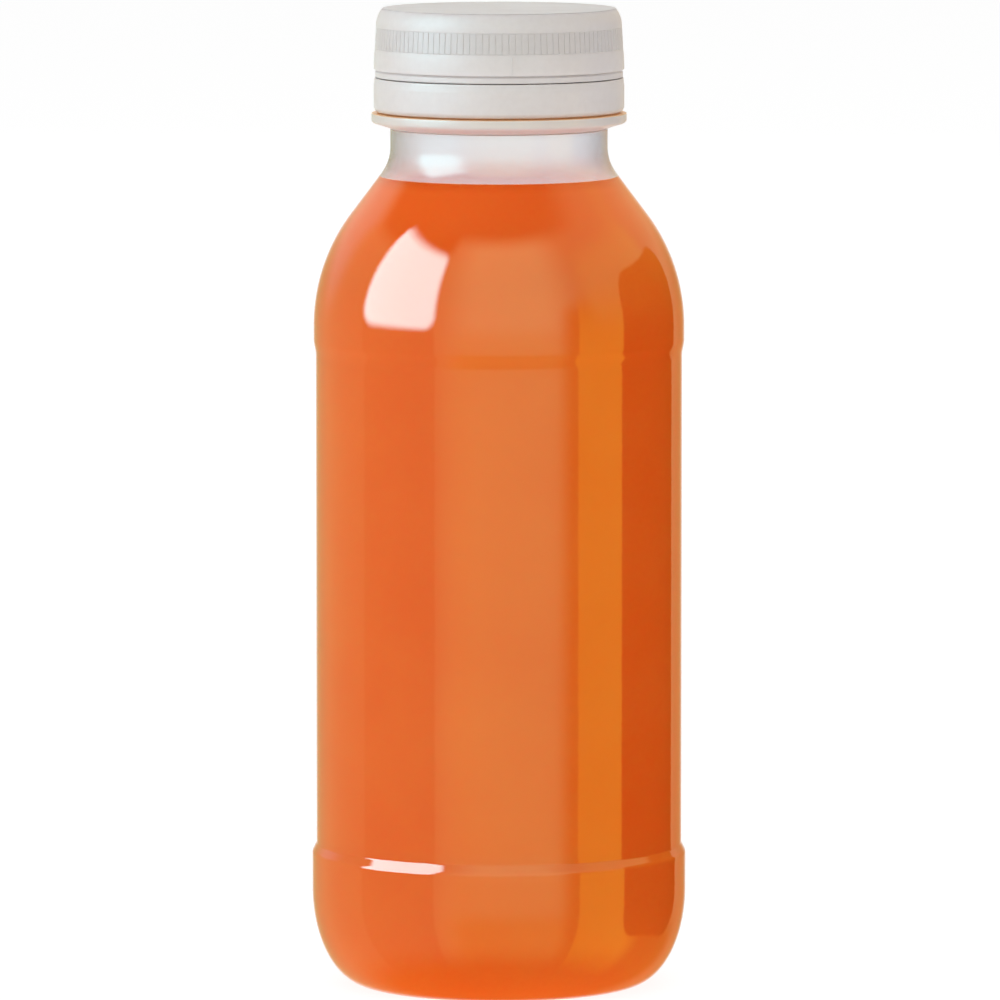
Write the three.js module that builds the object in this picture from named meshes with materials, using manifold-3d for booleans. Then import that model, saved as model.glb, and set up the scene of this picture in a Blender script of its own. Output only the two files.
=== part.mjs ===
// Clear screw-cap bottle of orange juice: a blown shell, the juice in it and a moulded cap.
// Millimetres, +Z up. The origin is on the bottle's axis, in the plane that it stands on.
// Outlines are lists of points whose x is the radius and whose y is the height.
import * as THREE from 'three';
import { mergeVertices } from 'three/addons/utils/BufferGeometryUtils.js';
import Module from 'manifold-3d';

// Facets round the axis
const BODY_SIDES = 40;
const CAP_SIDES = 60;

// Blown body
const WALL = 0.5;
const JUICE_GAP = 0.33;
const JUICE_LEVEL = 133.3;
const FOOT_INNER = 19.9;
const FOOT_OUTER = 21.86;
const PUSH_UP = 4.5;
const HEEL_TOP = 15.9;
const LOWER_BUMPER_RADIUS = 30.76;
const LOWER_STEP = { bottom: 21.0, top: 24.4 };
const PANEL_RADIUS = 30.07;
const UPPER_STEP = { bottom: 103.9, top: 106.6 };
const SHOULDER_RADIUS = 30.43;
const SHOULDER_EQUATOR = 108.8;
const SHOULDER_SLOPE = 37;
const NECK_RADIUS = 17.8;
const NECK_FILLET = 7;

// Neck finish: support ring, lock bead, three thread starts and the lip
const NECK_ROOT = { radius: 18.12, height: 140.95 };
const RING_RADIUS = 20.9;
const RING_TOP = 143.55;
const RING_TAPER = [[18.5, 141.35], [19.5, 141.65], [20.7, 142.3], [RING_RADIUS, 142.55]];
const EDGE = 0.15;
const FINISH_RADIUS = 17.4;
const BEAD = { radius: 18.7, foot: 146.1, bottom: 146.5, top: 147.0, shoulder: 148.3 };
const BORE_RADIUS = 15.8;
const BORE_BOTTOM = 142.5;
const LIP_TOP = 158.95;
const LIP_CHAMFER = 0.35;

// Cap
const CAP_TOP = 160.85;
const CAP_TOP_RADIUS = 19.2;
const CAP_TOP_THICKNESS = 1.4;
const RIBS = { bottom: 154.1, top: 158.0, lowRadius: 20.32, highRadius: 20.12 };
const GROOVES = { count: 120, bottom: 154.25, top: 157.8, depth: 0.27 };
const SKIRT = { topRadius: 20.44, bottomRadius: 20.52, ledge: 153.95, bottom: 150.85 };
const STRIP_RADIUS = 20.27;
const SLIT = { bottom: 149.4, top: 149.7 };
const CAP_INNER_RADIUS = 19.1;
const PLUG = { outer: 15.45, inner: 14.5, bottom: 156.6, taper: 0.25 };

// Tamper band, which bridges across the slit hold to the cap
const BAND = { bottom: 144.01, radius: 20.5, lowRadius: 20.1, rounding: 0.6 };
const FLAP = { radius: 18.05, bottom: 144.7, top: 145.7, root: 146.3 };
const BRIDGES = { count: 12, width: 1.1, inner: 19.3, outer: 20.05, embed: 0.3 };

// Three-start thread: the neck's lugs stand above the cap's
const THREAD = { starts: 3, from: 22, sweep: 130, steps: 9, lead: 9.5 };
const LUG = { rootHalf: 0.72, crestHalf: 0.34, endFade: 0.3 };
const NECK_THREAD = { root: 17.2, crest: 18.6, start: 152.3 };
const CAP_THREAD = { root: 19.3, crest: 17.85, start: 150.75 };

const wasm = await Module();
wasm.setup();

const radians = THREE.MathUtils.degToRad;

// A corner of an outline
const point = (radius, height) => new THREE.Vector2(radius, height);

// Points along an elliptical arc; the two angles are in degrees from the outward direction
function arc(centre, radii, from, to, steps) {
  const curve = new THREE.EllipseCurve(
    centre.x, centre.y, radii.x, radii.y, radians(from), radians(to), to < from);
  return curve.getPoints(steps);
}

// A soft step from one point of an outline to another, upright at both ends
function softStep(low, high, steps) {
  const points = [];
  for (let i = 0; i <= steps; i += 1) {
    const t = i / steps;
    const radius = THREE.MathUtils.lerp(low.x, high.x, THREE.MathUtils.smoothstep(t, 0, 1));
    points.push(point(radius, THREE.MathUtils.lerp(low.y, high.y, t)));
  }
  return points;
}

// Outline of the blown body from the axis under the base up to the neck, moved inwards by inset
function bodyOutline(inset) {
  const domeSteps = 2;
  const outline = [];
  for (let i = 0; i < domeSteps; i += 1) {
    const t = i / domeSteps;
    outline.push(point(FOOT_INNER * t, PUSH_UP * (1 - t * t) + inset));
  }
  outline.push(point(FOOT_INNER, inset));

  const heelCentre = point(FOOT_OUTER, HEEL_TOP);
  const heelRadii = point(LOWER_BUMPER_RADIUS - FOOT_OUTER - inset, HEEL_TOP - inset);
  outline.push(...arc(heelCentre, heelRadii, -90, 0, 5));
  outline.push(...softStep(
    point(LOWER_BUMPER_RADIUS - inset, LOWER_STEP.bottom),
    point(PANEL_RADIUS - inset, LOWER_STEP.top), 3));
  outline.push(...softStep(
    point(PANEL_RADIUS - inset, UPPER_STEP.bottom),
    point(SHOULDER_RADIUS - inset, UPPER_STEP.top), 2));

  const shoulder = SHOULDER_RADIUS - inset;
  outline.push(...arc(point(0, SHOULDER_EQUATOR), point(shoulder, shoulder), 0, SHOULDER_SLOPE, 4));

  // The fillet touches both the upright neck and the cone that runs on from the shoulder
  const slope = radians(SHOULDER_SLOPE);
  const filletX = NECK_RADIUS + NECK_FILLET;
  const rise = (SHOULDER_RADIUS + NECK_FILLET - filletX * Math.cos(slope)) / Math.sin(slope);
  const fillet = NECK_FILLET + inset;
  const filletCentre = point(filletX, SHOULDER_EQUATOR + rise);
  outline.push(...arc(filletCentre, point(fillet, fillet), 180 + SHOULDER_SLOPE, 180, 3));
  return outline;
}

// The part of a rising outline below a height, ended on that height
function cutAtHeight(outline, height) {
  const last = outline.findIndex((corner) => corner.y > height);
  const low = outline[last - 1];
  const high = outline[last];
  const end = low.clone().lerp(high, (height - low.y) / (high.y - low.y));
  return [...outline.slice(0, last), end];
}

// Outside of the neck, from the fillet to the lip and over it into the bore
function neckOutline() {
  return [
    point(NECK_ROOT.radius, NECK_ROOT.height),
    ...RING_TAPER.map(([radius, height]) => point(radius, height)),
    point(RING_RADIUS, RING_TOP - EDGE),
    point(RING_RADIUS - EDGE, RING_TOP),
    point(FINISH_RADIUS, RING_TOP),
    point(FINISH_RADIUS, BEAD.foot),
    point(BEAD.radius, BEAD.bottom),
    point(BEAD.radius, BEAD.top),
    point(FINISH_RADIUS, BEAD.shoulder),
    point(FINISH_RADIUS, LIP_TOP - LIP_CHAMFER),
    point(FINISH_RADIUS - LIP_CHAMFER, LIP_TOP),
    point(BORE_RADIUS, LIP_TOP),
    point(BORE_RADIUS, BORE_BOTTOM),
  ];
}

// A closed geometry, with its doubled corners merged, as a solid that can be joined and cut
function solidOf(geometry) {
  geometry.deleteAttribute('normal');
  geometry.deleteAttribute('uv');
  const merged = mergeVertices(geometry);
  const corners = [];
  for (let i = 0; i < merged.index.count; i += 3) {
    const [a, b, c] = [merged.index.getX(i), merged.index.getX(i + 1), merged.index.getX(i + 2)];
    if (a !== b && b !== c && c !== a) {
      corners.push(a, b, c);
    }
  }
  return new wasm.Manifold(new wasm.Mesh({
    numProp: 3,
    vertProperties: new Float32Array(merged.attributes.position.array),
    triVerts: new Uint32Array(corners),
  }));
}

// Turns an outline round the Z axis
function turned(outline, sides) {
  return solidOf(new THREE.LatheGeometry(outline, sides).rotateX(Math.PI / 2));
}

// A solid as the mesh of a node
function named(name, solid, material) {
  const { vertProperties, triVerts } = solid.getMesh();
  const geometry = new THREE.BufferGeometry();
  geometry.setAttribute('position', new THREE.BufferAttribute(new Float32Array(vertProperties), 3));
  geometry.setIndex(new THREE.BufferAttribute(new Uint32Array(triVerts), 1));
  geometry.computeVertexNormals();
  const mesh = new THREE.Mesh(geometry, material);
  mesh.name = name;
  return mesh;
}

// One lug of a thread: a block wound round the axis as it climbs, its crest fading out at both ends
function threadLug({ root, crest, start }, startAngle) {
  const outward = Math.sign(crest - root);
  const lug = new THREE.BoxGeometry(1, 1, 1, THREAD.steps, 1, 1);
  const places = lug.attributes.position;
  for (let i = 0; i < places.count; i += 1) {
    const along = places.getX(i) + 0.5;
    const toCrest = 0.5 + outward * places.getZ(i);
    const fade = Math.min(1, LUG.endFade + THREAD.steps * Math.min(along, 1 - along) / 2);
    const radius = THREE.MathUtils.lerp(root, crest, toCrest * fade);
    const half = THREE.MathUtils.lerp(LUG.rootHalf, LUG.crestHalf, toCrest);
    const climb = THREAD.lead * THREAD.sweep * along / 360;
    const angle = radians(startAngle + THREAD.sweep * along);
    places.setXYZ(
      i, radius * Math.cos(angle), radius * Math.sin(angle),
      start + climb + 2 * half * places.getY(i));
  }
  return solidOf(lug);
}

// Adds one lug for each start of the thread
function withThread(solid, thread) {
  let threaded = solid;
  for (let i = 0; i < THREAD.starts; i += 1) {
    threaded = threaded.add(threadLug(thread, THREAD.from + 360 * i / THREAD.starts));
  }
  return threaded;
}

// Shell: up the outside, over the lip and down the inside, so that the mouth stays open
function bottle() {
  const outline = [...bodyOutline(0), ...neckOutline(), ...bodyOutline(WALL).reverse()];
  const material = new THREE.MeshStandardMaterial({
    color: 0xeae8e6, roughness: 0.08, metalness: 0, transparent: true, opacity: 0.3,
  });
  return named('bottle', withThread(turned(outline, BODY_SIDES), NECK_THREAD), material);
}

// Juice: fills the shell to its level and keeps clear of the wall
function juice() {
  const side = cutAtHeight(bodyOutline(WALL + JUICE_GAP), JUICE_LEVEL);
  const material = new THREE.MeshStandardMaterial({ color: 0xe97332, roughness: 0.3, metalness: 0 });
  return named('juice', turned([...side, point(0, JUICE_LEVEL)], BODY_SIDES), material);
}

// Outline of the cap above the slit, from its inside corner round the outside to the plug
function capOutline() {
  const inside = CAP_TOP - CAP_TOP_THICKNESS;

  // The arc that joins the ribbed side to the flat top leaves the side upright
  const rise = CAP_TOP - RIBS.top;
  const inset = RIBS.highRadius - CAP_TOP_RADIUS;
  const bend = (rise ** 2 + inset ** 2) / (2 * inset);
  const topAngle = THREE.MathUtils.radToDeg(Math.atan2(rise, bend - inset));
  const shoulder = arc(point(RIBS.highRadius - bend, RIBS.top), point(bend, bend), 0, topAngle, 3);

  return [
    point(CAP_INNER_RADIUS, SLIT.top),
    point(STRIP_RADIUS, SLIT.top),
    point(STRIP_RADIUS, SKIRT.bottom - EDGE),
    point(SKIRT.bottomRadius - EDGE, SKIRT.bottom),
    point(SKIRT.bottomRadius, SKIRT.bottom + EDGE),
    point(SKIRT.topRadius, SKIRT.ledge),
    point(RIBS.lowRadius, RIBS.bottom),
    ...shoulder,
    point(0, CAP_TOP),
    point(0, inside),
    point(PLUG.inner, inside),
    point(PLUG.inner, PLUG.bottom),
    point(PLUG.outer - PLUG.taper, PLUG.bottom),
    point(PLUG.outer, inside),
    point(CAP_INNER_RADIUS, inside),
    point(CAP_INNER_RADIUS, SLIT.top),
  ];
}

// Closed outline of the tamper band, whose flap reaches in under the neck's lock bead
function bandOutline() {
  return [
    point(CAP_INNER_RADIUS, BAND.bottom),
    point(BAND.lowRadius, BAND.bottom),
    point(BAND.radius, BAND.bottom + BAND.rounding),
    point(SKIRT.bottomRadius, SLIT.bottom - EDGE),
    point(SKIRT.bottomRadius - EDGE, SLIT.bottom),
    point(CAP_INNER_RADIUS, SLIT.bottom),
    point(CAP_INNER_RADIUS, FLAP.root),
    point(FLAP.radius, FLAP.top),
    point(FLAP.radius, FLAP.bottom),
    point(CAP_INNER_RADIUS, BAND.bottom),
  ];
}

// The webs that hold the tamper band to the cap until it is first opened
function bridges() {
  const height = SLIT.top - SLIT.bottom + 2 * BRIDGES.embed;
  const webs = [];
  for (let i = 0; i < BRIDGES.count; i += 1) {
    const web = new THREE.BoxGeometry(BRIDGES.outer - BRIDGES.inner, BRIDGES.width, height);
    web.translate((BRIDGES.outer + BRIDGES.inner) / 2, 0, (SLIT.top + SLIT.bottom) / 2);
    web.rotateZ(2 * Math.PI * (i + 0.5) / BRIDGES.count);
    webs.push(solidOf(web));
  }
  return webs;
}

// Square bars set on edge, leaning with the side, that cut the V-shaped grooves between the ribs
function grooveCutters() {
  const halfDiagonal = 1;
  const lean = Math.atan2(RIBS.lowRadius - RIBS.highRadius, RIBS.top - RIBS.bottom);
  const middleRadius = (RIBS.lowRadius + RIBS.highRadius) / 2;
  const side = halfDiagonal * Math.SQRT2;
  const cutters = [];
  for (let i = 0; i < GROOVES.count; i += 1) {
    const bar = new THREE.BoxGeometry(side, side, GROOVES.top - GROOVES.bottom);
    bar.rotateZ(Math.PI / 4);
    bar.rotateY(-lean);
    bar.translate(middleRadius + halfDiagonal - GROOVES.depth, 0, (GROOVES.top + GROOVES.bottom) / 2);
    bar.rotateZ(2 * Math.PI * (i + 0.5) / GROOVES.count);
    cutters.push(solidOf(bar));
  }
  return cutters;
}

// Cap with its band, webs, grooves and thread
function cap() {
  let solid = turned(capOutline(), CAP_SIDES).add(turned(bandOutline(), CAP_SIDES));
  for (const web of bridges()) {
    solid = solid.add(web);
  }
  for (const cutter of grooveCutters()) {
    solid = solid.subtract(cutter);
  }
  const material = new THREE.MeshStandardMaterial({ color: 0xdedad8, roughness: 0.42, metalness: 0 });
  return named('cap', withThread(solid, CAP_THREAD), material);
}

const juiceBottle = new THREE.Group();
juiceBottle.add(bottle(), juice(), cap());

export default juiceBottle;
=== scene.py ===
"""Juice bottle: the looks of its clear shell, of the orange juice in it and of its ribbed screw cap.

Every length is in metres, with +Z up along the bottle's axis and -Y towards the camera. The sizes are
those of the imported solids, and each piece made here stands for one of them or lies on it.
"""

import logging
import math
from collections.abc import Iterable, Sequence
from dataclasses import dataclass, field
from enum import Enum

import bmesh
import bpy
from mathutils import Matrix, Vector

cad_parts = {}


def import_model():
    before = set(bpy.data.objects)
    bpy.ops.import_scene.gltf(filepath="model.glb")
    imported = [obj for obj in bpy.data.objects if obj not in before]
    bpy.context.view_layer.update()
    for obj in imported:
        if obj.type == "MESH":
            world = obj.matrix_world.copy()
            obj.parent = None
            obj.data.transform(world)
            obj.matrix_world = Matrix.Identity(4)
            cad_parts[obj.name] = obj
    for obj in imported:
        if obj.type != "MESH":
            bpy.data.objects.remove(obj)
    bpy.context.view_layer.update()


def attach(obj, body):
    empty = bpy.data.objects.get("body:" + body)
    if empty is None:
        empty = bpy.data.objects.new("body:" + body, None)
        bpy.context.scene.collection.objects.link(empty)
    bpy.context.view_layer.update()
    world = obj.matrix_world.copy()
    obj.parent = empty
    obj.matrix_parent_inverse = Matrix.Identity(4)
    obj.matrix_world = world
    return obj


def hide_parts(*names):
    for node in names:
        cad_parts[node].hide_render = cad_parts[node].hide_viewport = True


log = logging.getLogger("juice_bottle")

Point = tuple[float, float]
Outline = list[Point]
Colour = tuple[float, float, float]
Piece = bpy.types.Object
Material = bpy.types.Material
Socket = bpy.types.NodeSocket

MM = 0.001
TINY = 0.001 * MM
NO_LIGHT = (0.0, 0.0, 0.0)
# Most of a noise's values lie in this span
NOISE_SPAN = (0.3, 0.7)
# A corner's rounding takes up no more than this share of the sides that meet there
ROUNDING_SHARE = 0.48
BODY = "root"


class Node(Enum):
    """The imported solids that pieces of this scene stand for."""

    BOTTLE = "bottle"
    JUICE = "juice"
    CAP = "cap"


class Slot(Enum):
    """The record's material slots."""

    CLEAR_PLASTIC = "clear_plastic"
    ORANGE_JUICE = "orange_juice"
    CAP_PLASTIC = "cap_plastic"


# Outlines: half sections, as points of radius and height


def arc(centre: Point, radii: Point, start: float, end: float, steps: int) -> Outline:
    """Points along part of an ellipse.

    Args:
        centre: Radius and height of the ellipse's centre.
        radii: Its half width and half height.
        start: Angle of the first point in degrees, 0 pointing outwards and 90 up.
        end: Angle of the last point in degrees.
        steps: Number of chords.

    Returns:
        steps + 1 points.
    """
    points = []
    for i in range(steps + 1):
        angle = math.radians(start + (end - start) * i / steps)
        points.append((centre[0] + radii[0] * math.cos(angle), centre[1] + radii[1] * math.sin(angle)))
    return points


def soft_step(start: Point, end: Point, steps: int) -> Outline:
    """Points along a step from one radius to another that leaves and meets both upright.

    Args:
        start: Radius and height of the first point.
        end: Radius and height of the last point.
        steps: Number of chords.

    Returns:
        steps + 1 points.
    """
    points = []
    for i in range(steps + 1):
        share = i / steps
        eased = share * share * (3 - 2 * share)
        points.append((start[0] + (end[0] - start[0]) * eased, start[1] + (end[1] - start[1]) * share))
    return points


def rounded(corners: Sequence[tuple[float, float, float]], steps: int = 5) -> Outline:
    """Rounds the corners of an outline.

    Args:
        corners: Radius, height and rounding of each corner. The first and the last stay sharp.
        steps: Chords in each rounding.

    Returns:
        The outline's points.
    """
    outline = []
    for i, (radius, height, rounding) in enumerate(corners):
        here = Vector((radius, height))
        if rounding == 0 or i in (0, len(corners) - 1):
            outline.append((radius, height))
            continue
        before = Vector(corners[i - 1][:2]) - here
        after = Vector(corners[i + 1][:2]) - here
        half_angle = before.angle(after) / 2
        most = ROUNDING_SHARE * min(before.length, after.length)
        reach = min(rounding / math.tan(half_angle), most)
        inwards = (before.normalized() + after.normalized()).normalized()
        centre = here + inwards * reach / math.cos(half_angle)
        first = here + before.normalized() * reach - centre
        last = here + after.normalized() * reach - centre
        turn = math.pi - 2 * half_angle
        side = math.copysign(1.0, first.x * last.y - first.y * last.x)
        for step in range(steps + 1):
            angle = side * turn * step / steps
            spoke = Vector((
                first.x * math.cos(angle) - first.y * math.sin(angle),
                first.x * math.sin(angle) + first.y * math.cos(angle),
            ))
            outline.append(tuple(centre + spoke))
    return outline


def refined(outline: Outline, longest: float) -> Outline:
    """Adds points to an outline's long stretches.

    Args:
        outline: The points to go through.
        longest: The longest stretch that stays whole.

    Returns:
        The same line with more points, and none of them doubled.
    """
    points = [outline[0]]
    for (r0, z0), (r1, z1) in zip(outline, outline[1:]):
        length = math.hypot(r1 - r0, z1 - z0)
        if length < TINY:
            continue
        parts = max(1, math.ceil(length / longest))
        for i in range(1, parts + 1):
            points.append((r0 + (r1 - r0) * i / parts, z0 + (z1 - z0) * i / parts))
    return points


def cut_at(outline: Outline, height: float) -> Outline:
    """The part of a rising outline below a height.

    Args:
        outline: The points to go through.
        height: Where to cut.

    Returns:
        The points below the height, and one at it.
    """
    kept = []
    for (r0, z0), (r1, z1) in zip(outline, outline[1:]):
        kept.append((r0, z0))
        if z1 >= height > z0:
            share = (height - z0) / (z1 - z0)
            kept.append((r0 + (r1 - r0) * share, height))
            return kept
    return outline


# Meshes


def mesh_object(name: str, points: Iterable[Sequence[float]], edges: list, faces: list) -> Piece:
    """Makes a mesh object at the origin.

    Args:
        name: Name of the object and of its mesh.
        points: Places of the vertices.
        edges: Pairs of vertex numbers, where there are no faces.
        faces: Lists of vertex numbers.

    Returns:
        The object, linked to the scene.
    """
    mesh = bpy.data.meshes.new(name)
    mesh.from_pydata([tuple(p) for p in points], edges, faces)
    mesh.update()
    piece = bpy.data.objects.new(name, mesh)
    bpy.context.scene.collection.objects.link(piece)
    return piece


def tube_faces(rows: int, width: int) -> list[tuple[int, ...]]:
    """The faces of a closed tube whose points are counted row by row.

    Args:
        rows: Number of sections along it.
        width: Points in each section.

    Returns:
        The sides' faces, and one face for each end.
    """
    faces = []
    for i in range(rows - 1):
        for j in range(width):
            here = width * i + j
            beside = width * i + (j + 1) % width
            faces.append((here, beside, beside + width, here + width))
    faces.append(tuple(reversed(range(width))))
    faces.append(tuple(range(width * (rows - 1), width * rows)))
    return faces


def face_outwards(piece: Piece) -> None:
    """Turns a closed mesh's faces outwards, by the sign of its volume, after making them agree.

    Args:
        piece: The object with the mesh.
    """
    shape = bmesh.new()
    shape.from_mesh(piece.data)
    bmesh.ops.recalc_face_normals(shape, faces=shape.faces)
    if shape.calc_volume(signed=True) < 0:
        bmesh.ops.reverse_faces(shape, faces=shape.faces)
    shape.to_mesh(piece.data)
    shape.free()


class ShapeTree:
    """A Geometry Nodes tree with named inputs, that works on the geometry of the object it is put on."""

    def __init__(self, name: str) -> None:
        """Makes the empty tree with a geometry going in and out.

        Args:
            name: Name of the tree, and of the modifiers that use it.
        """
        self.tree = bpy.data.node_groups.new(name, "GeometryNodeTree")
        self.identifiers: dict[str, str] = {}
        self.tree.interface.new_socket("Geometry", in_out="INPUT", socket_type="NodeSocketGeometry")
        self.tree.interface.new_socket("Geometry", in_out="OUTPUT", socket_type="NodeSocketGeometry")
        self.source = self.node("NodeGroupInput")
        self.result = self.node("NodeGroupOutput")

    def add_input(self, name: str, kind: str) -> None:
        """Adds a named input of a socket type, such as NodeSocketInt."""
        socket = self.tree.interface.new_socket(name, in_out="INPUT", socket_type=kind)
        self.identifiers[name] = socket.identifier

    def node(self, kind: str, **settings: object) -> bpy.types.Node:
        """Adds a node.

        Args:
            kind: The node's type.
            settings: Values of its properties.

        Returns:
            The node.
        """
        made = self.tree.nodes.new(kind)
        for name, value in settings.items():
            setattr(made, name, value)
        return made

    def link(self, start: Socket, end: Socket) -> None:
        """Links an output to an input."""
        self.tree.links.new(start, end)

    def maths(self, operation: str, first: object, second: object, kind: str = "ShaderNodeMath") -> Socket:
        """Adds a sum.

        Args:
            operation: Name of the sum, such as MULTIPLY.
            first: A socket or a number.
            second: A socket or a number.
            kind: The node's type, for sums of whole numbers.

        Returns:
            The socket with its result.
        """
        made = self.node(kind, operation=operation)
        for socket, value in zip(made.inputs, (first, second)):
            if isinstance(value, Socket):
                self.link(value, socket)
            else:
                socket.default_value = value
        return made.outputs[0]

    def finish(self, geometry: Socket, smooth_faces: bool) -> None:
        """Ends the tree with real faces in the finish that its input names.

        Args:
            geometry: The socket with the shape.
            smooth_faces: Whether the faces are shaded smoothly.
        """
        smooth = self.node("GeometryNodeSetShadeSmooth")
        smooth.inputs["Shade Smooth"].default_value = smooth_faces
        realize = self.node("GeometryNodeRealizeInstances")
        dress = self.node("GeometryNodeSetMaterial")
        self.link(geometry, smooth.inputs["Geometry"])
        self.link(smooth.outputs[0], realize.inputs["Geometry"])
        self.link(realize.outputs[0], dress.inputs["Geometry"])
        self.link(self.source.outputs["Finish"], dress.inputs["Material"])
        self.link(dress.outputs[0], self.result.inputs[0])

    def apply(self, piece: Piece, **values: object) -> Piece:
        """Puts the tree on an object and turns the result into a plain mesh.

        Args:
            piece: The object, whose mesh is what the tree starts from.
            values: The tree's inputs, with _ for a space in their names.

        Returns:
            The same object with its new mesh and no modifier.
        """
        modifier = piece.modifiers.new(self.tree.name, "NODES")
        modifier.node_group = self.tree
        for name, value in values.items():
            modifier[self.identifiers[name.replace("_", " ")]] = value
        graph = bpy.context.evaluated_depsgraph_get()
        made = bpy.data.meshes.new_from_object(piece.evaluated_get(graph))
        piece.modifiers.remove(modifier)
        old = piece.data
        piece.data = made
        made.name = piece.name
        bpy.data.meshes.remove(old)
        made.materials.clear()
        made.materials.append(values["Finish"])
        made.polygons.foreach_set("material_index", [0] * len(made.polygons))
        return piece


def turning_tree() -> ShapeTree:
    """The tree that turns an outline about the axis.

    Returns:
        A tree that reads the object's points in their order, as radius in X and height in Z.
    """
    tree = ShapeTree("turned_outline")
    tree.add_input("Sides", "NodeSocketInt")
    tree.add_input("Finish", "NodeSocketMaterial")
    sides = tree.source.outputs["Sides"]

    count = tree.node("GeometryNodeAttributeDomainSize", component="MESH")
    tree.link(tree.source.outputs[0], count.inputs[0])
    rows = count.outputs["Point Count"]

    whole = "FunctionNodeIntegerMath"
    grid = tree.node("GeometryNodeMeshGrid")
    tree.link(tree.maths("ADD", sides, 1, whole), grid.inputs["Vertices X"])
    tree.link(rows, grid.inputs["Vertices Y"])

    number = tree.node("GeometryNodeInputIndex").outputs[0]
    row = tree.maths("MODULO", number, rows, whole)
    column = tree.maths("DIVIDE_FLOOR", number, rows, whole)

    outline = tree.node("GeometryNodeSampleIndex", data_type="FLOAT_VECTOR", domain="POINT")
    tree.link(tree.source.outputs[0], outline.inputs["Geometry"])
    tree.link(tree.node("GeometryNodeInputPosition").outputs[0], outline.inputs["Value"])
    tree.link(row, outline.inputs["Index"])

    angle = tree.maths("MULTIPLY", tree.maths("DIVIDE", column, sides), math.tau)
    turn = tree.node("ShaderNodeVectorRotate", rotation_type="Z_AXIS")
    tree.link(outline.outputs[0], turn.inputs["Vector"])
    tree.link(angle, turn.inputs["Angle"])

    place = tree.node("GeometryNodeSetPosition")
    tree.link(grid.outputs["Mesh"], place.inputs["Geometry"])
    tree.link(turn.outputs[0], place.inputs["Position"])

    seam = tree.node("GeometryNodeMergeByDistance")
    seam.inputs["Distance"].default_value = TINY
    tree.link(place.outputs[0], seam.inputs["Geometry"])
    tree.finish(seam.outputs[0], smooth_faces=True)
    return tree


def ring_tree() -> ShapeTree:
    """The tree that repeats an object round the axis.

    Returns:
        A tree whose copies stand at equal angles, the first turned by half a pitch times the Offset input.
    """
    tree = ShapeTree("ring_of_copies")
    tree.add_input("Copies", "NodeSocketInt")
    tree.add_input("Offset", "NodeSocketFloat")
    tree.add_input("Finish", "NodeSocketMaterial")
    copies = tree.source.outputs["Copies"]

    points = tree.node("GeometryNodePoints")
    tree.link(copies, points.inputs["Count"])
    number = tree.node("GeometryNodeInputIndex").outputs[0]
    share = tree.maths("DIVIDE", tree.maths("ADD", number, tree.source.outputs["Offset"]), copies)
    turn = tree.node("ShaderNodeCombineXYZ")
    tree.link(tree.maths("MULTIPLY", share, math.tau), turn.inputs["Z"])

    ring = tree.node("GeometryNodeInstanceOnPoints")
    tree.link(points.outputs[0], ring.inputs["Points"])
    tree.link(tree.source.outputs[0], ring.inputs["Instance"])
    tree.link(turn.outputs[0], ring.inputs["Rotation"])
    tree.finish(ring.outputs[0], smooth_faces=False)
    return tree


@dataclass
class Workshop:
    """The two Geometry Nodes trees, and how pieces are made with them."""

    turning: ShapeTree = field(default_factory=turning_tree)
    ring: ShapeTree = field(default_factory=ring_tree)

    def turn(self, name: str, outline: Outline, longest_row: float, sides: int, finish: Material) -> Piece:
        """Turns an outline about the axis.

        Args:
            name: Name of the piece.
            outline: Points of radius and height. It starts and ends on the axis, or closes on itself.
            longest_row: The longest stretch of the outline that stays one row of faces.
            sides: Faces round the axis.
            finish: Material of the piece.

        Returns:
            The closed piece, its faces outwards.
        """
        points = [(r, 0.0, z) for r, z in refined(outline, longest_row)]
        edges = [(i, i + 1) for i in range(len(points) - 1)]
        piece = mesh_object(name, points, edges, [])
        self.turning.apply(piece, Sides=sides, Finish=finish)
        face_outwards(piece)
        return piece

    def repeat(self, piece: Piece, copies: int, offset: float, finish: Material) -> Piece:
        """Repeats a piece round the axis.

        Args:
            piece: One closed copy, in its place.
            copies: How many there are.
            offset: Turn of the first one, as a share of the pitch.
            finish: Material of the copies.

        Returns:
            The same piece, now with all its copies.
        """
        face_outwards(piece)
        return self.ring.apply(piece, Copies=copies, Offset=offset, Finish=finish)


# Finishes: a pair of heights is the span over which an effect comes in


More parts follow.
